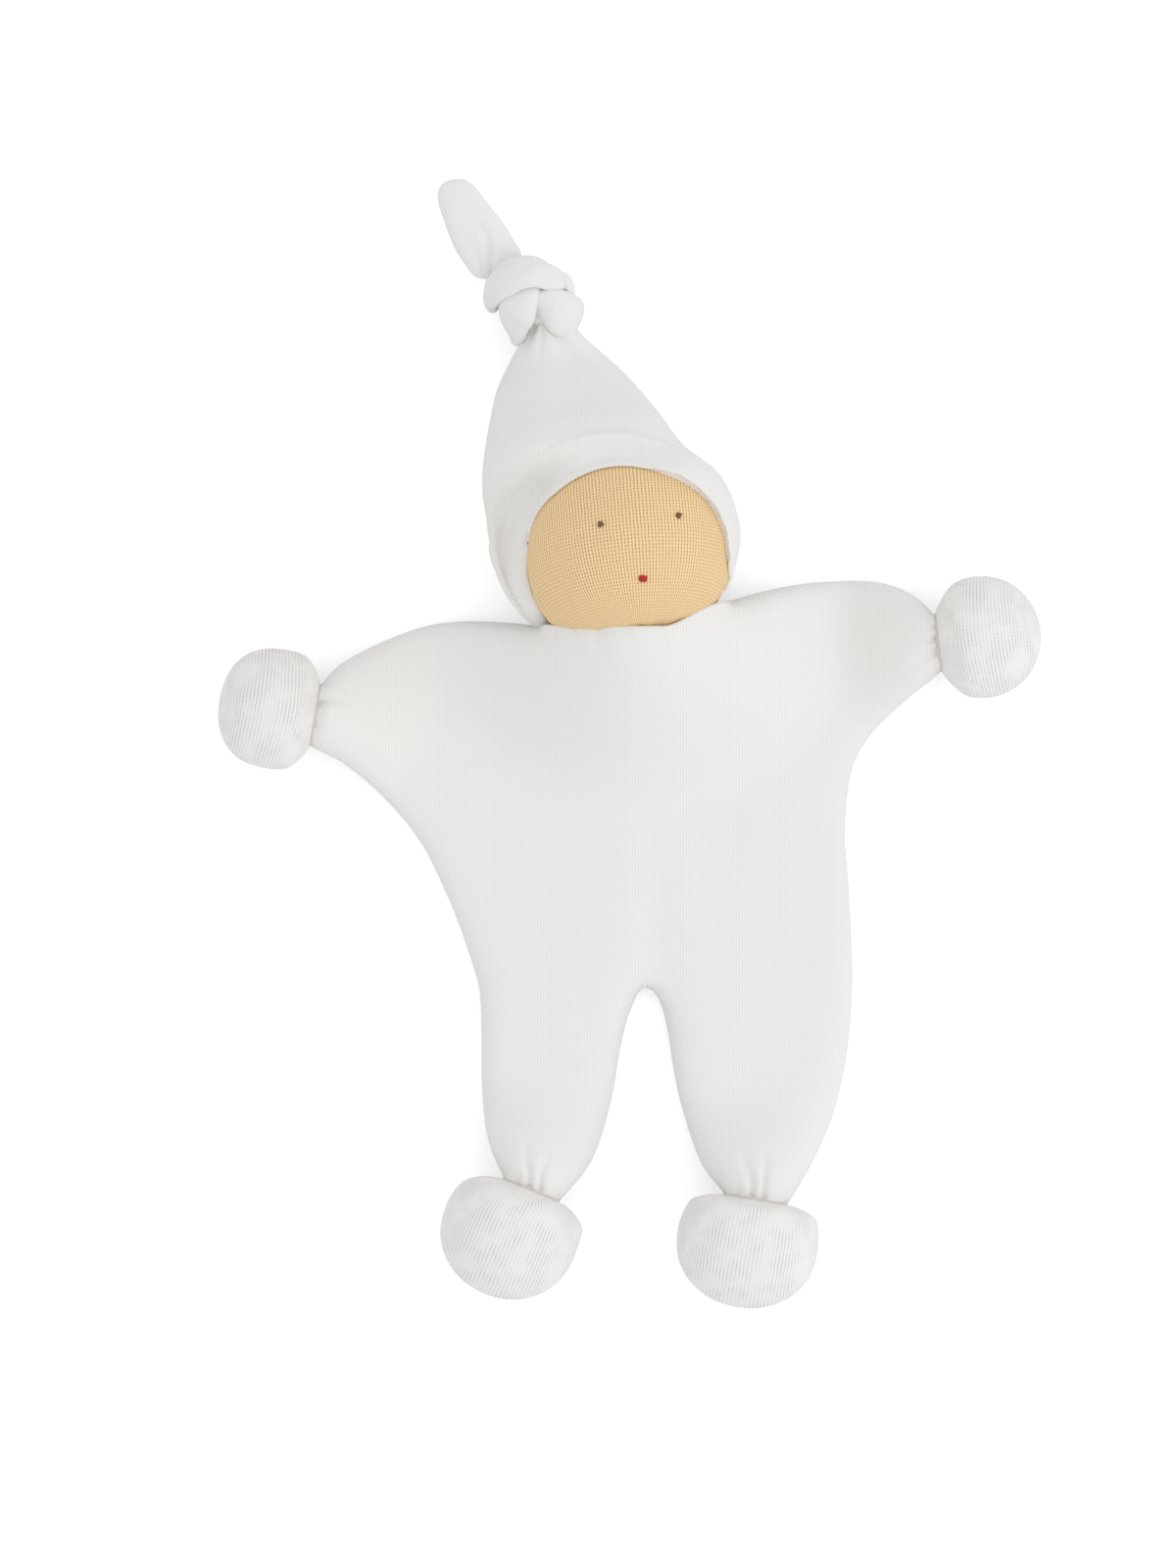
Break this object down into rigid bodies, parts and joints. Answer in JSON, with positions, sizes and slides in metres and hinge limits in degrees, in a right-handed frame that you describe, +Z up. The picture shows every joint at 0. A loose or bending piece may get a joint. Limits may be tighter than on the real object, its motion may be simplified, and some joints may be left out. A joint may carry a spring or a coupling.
{
  "type": "cloth comforter doll",
  "caption": "Flat padded cloth comforter doll with a knitted ball head, a knotted hood, and gathered balls for hands and feet; limbs, head and hood tip fold.",
  "frame": {"origin": "on the flat underside of the torso, on the table", "axes": "+Z up and the way the face looks, +Y towards the head, +X towards the doll's own left hand"},
  "size_m": [0.1849, 0.2537, 0.0479],
  "materials": {
    "cloth": "soft off-white cotton knit with fine wales",
    "skin": "tan cotton stockinette with fine wales",
    "wool": "loose carded wool",
    "thread": "pale twisted tying thread",
    "eye_thread": "brown embroidery thread",
    "mouth_thread": "red embroidery thread"
  },
  "bodies": {
    "torso": {"torso_front": "cloth", "torso_back": "cloth", "torso_wool": "wool"},
    "neck": {"collar_front": "cloth", "collar_back": "cloth"},
    "head": {"head_cover": "skin", "head_wool": "wool", "neck_tie": "thread", "right_eye_stitch": "eye_thread", "left_eye_stitch": "eye_thread", "mouth_stitch": "mouth_thread", "hood": "cloth", "hood_hem": "cloth"},
    "tip": {"tip_knot": "cloth"},
    "tail": {"tip_tail": "cloth"},
    "right_arm": {"right_arm_front": "cloth", "right_arm_back": "cloth", "right_arm_wool": "wool"},
    "left_arm": {"left_arm_front": "cloth", "left_arm_back": "cloth", "left_arm_wool": "wool"},
    "right_leg": {"right_leg_front": "cloth", "right_leg_back": "cloth", "right_leg_wool": "wool"},
    "left_leg": {"left_leg_front": "cloth", "left_leg_back": "cloth", "left_leg_wool": "wool"},
    "right_hand": {"right_hand_cover": "cloth", "right_hand_wool": "wool", "right_hand_tie": "thread"},
    "left_hand": {"left_hand_cover": "cloth", "left_hand_wool": "wool", "left_hand_tie": "thread"},
    "right_foot": {"right_foot_cover": "cloth", "right_foot_wool": "wool", "right_foot_tie": "thread"},
    "left_foot": {"left_foot_cover": "cloth", "left_foot_wool": "wool", "left_foot_tie": "thread"}
  },
  "joints": [
    {"name": "neck_nod", "type": "hinge", "parent": "torso", "child": "neck", "pos_m": [0, 0.026, 0.03645], "axis": [1, 0, 0], "range_deg": [-10, 60]},
    {"name": "head_turn", "type": "hinge", "parent": "neck", "child": "head", "pos_m": [-0.0033, 0.0528, 0.0247], "axis": [0, 1, 0], "range_deg": [-40, 40]},
    {"name": "hood_tip_fold", "type": "hinge", "parent": "head", "child": "tip", "pos_m": [-0.02135, 0.09945, 0.01365], "axis": [0.9932, 0.1164, 0], "range_deg": [-20, 90]},
    {"name": "tail_fold", "type": "hinge", "parent": "tip", "child": "tail", "pos_m": [-0.03385, 0.1171, 0.01025], "axis": [0.8767, 0.481, 0], "range_deg": [-20, 60]},
    {"name": "right_shoulder_fold", "type": "hinge", "parent": "torso", "child": "right_arm", "pos_m": [-0.04345, 0.00575, 0.00838], "axis": [0.0538, 0.9986, 0], "range_deg": [-30, 90]},
    {"name": "left_shoulder_fold", "type": "hinge", "parent": "torso", "child": "left_arm", "pos_m": [0.04355, 0.0226, 0.00874], "axis": [0.0772, -0.997, 0], "range_deg": [-30, 90]},
    {"name": "right_wrist_fold", "type": "hinge", "parent": "right_arm", "child": "right_hand", "pos_m": [-0.0743, 0.0155, 0.01865], "axis": [0.167, 0.986, 0], "range_deg": [-20, 45]},
    {"name": "left_wrist_fold", "type": "hinge", "parent": "left_arm", "child": "left_hand", "pos_m": [0.0653, 0.0317, 0.01865], "axis": [0.119, -0.9929, 0], "range_deg": [-20, 45]},
    {"name": "right_hip_fold", "type": "hinge", "parent": "torso", "child": "right_leg", "pos_m": [-0.0189, -0.046, 0.00695], "axis": [-0.9999, -0.0108, 0], "range_deg": [-30, 105]},
    {"name": "left_hip_fold", "type": "hinge", "parent": "torso", "child": "left_leg", "pos_m": [0.0229, -0.0451, 0.00695], "axis": [-0.9995, -0.03, 0], "range_deg": [-30, 105]},
    {"name": "right_ankle_fold", "type": "hinge", "parent": "right_leg", "child": "right_foot", "pos_m": [-0.0259, -0.091, 0.01975], "axis": [-0.9229, 0.385, 0], "range_deg": [-20, 45]},
    {"name": "left_ankle_fold", "type": "hinge", "parent": "left_leg", "child": "left_foot", "pos_m": [0.0244, -0.0931, 0.01975], "axis": [-0.9871, 0.16, 0], "range_deg": [-20, 45]}
  ]
}
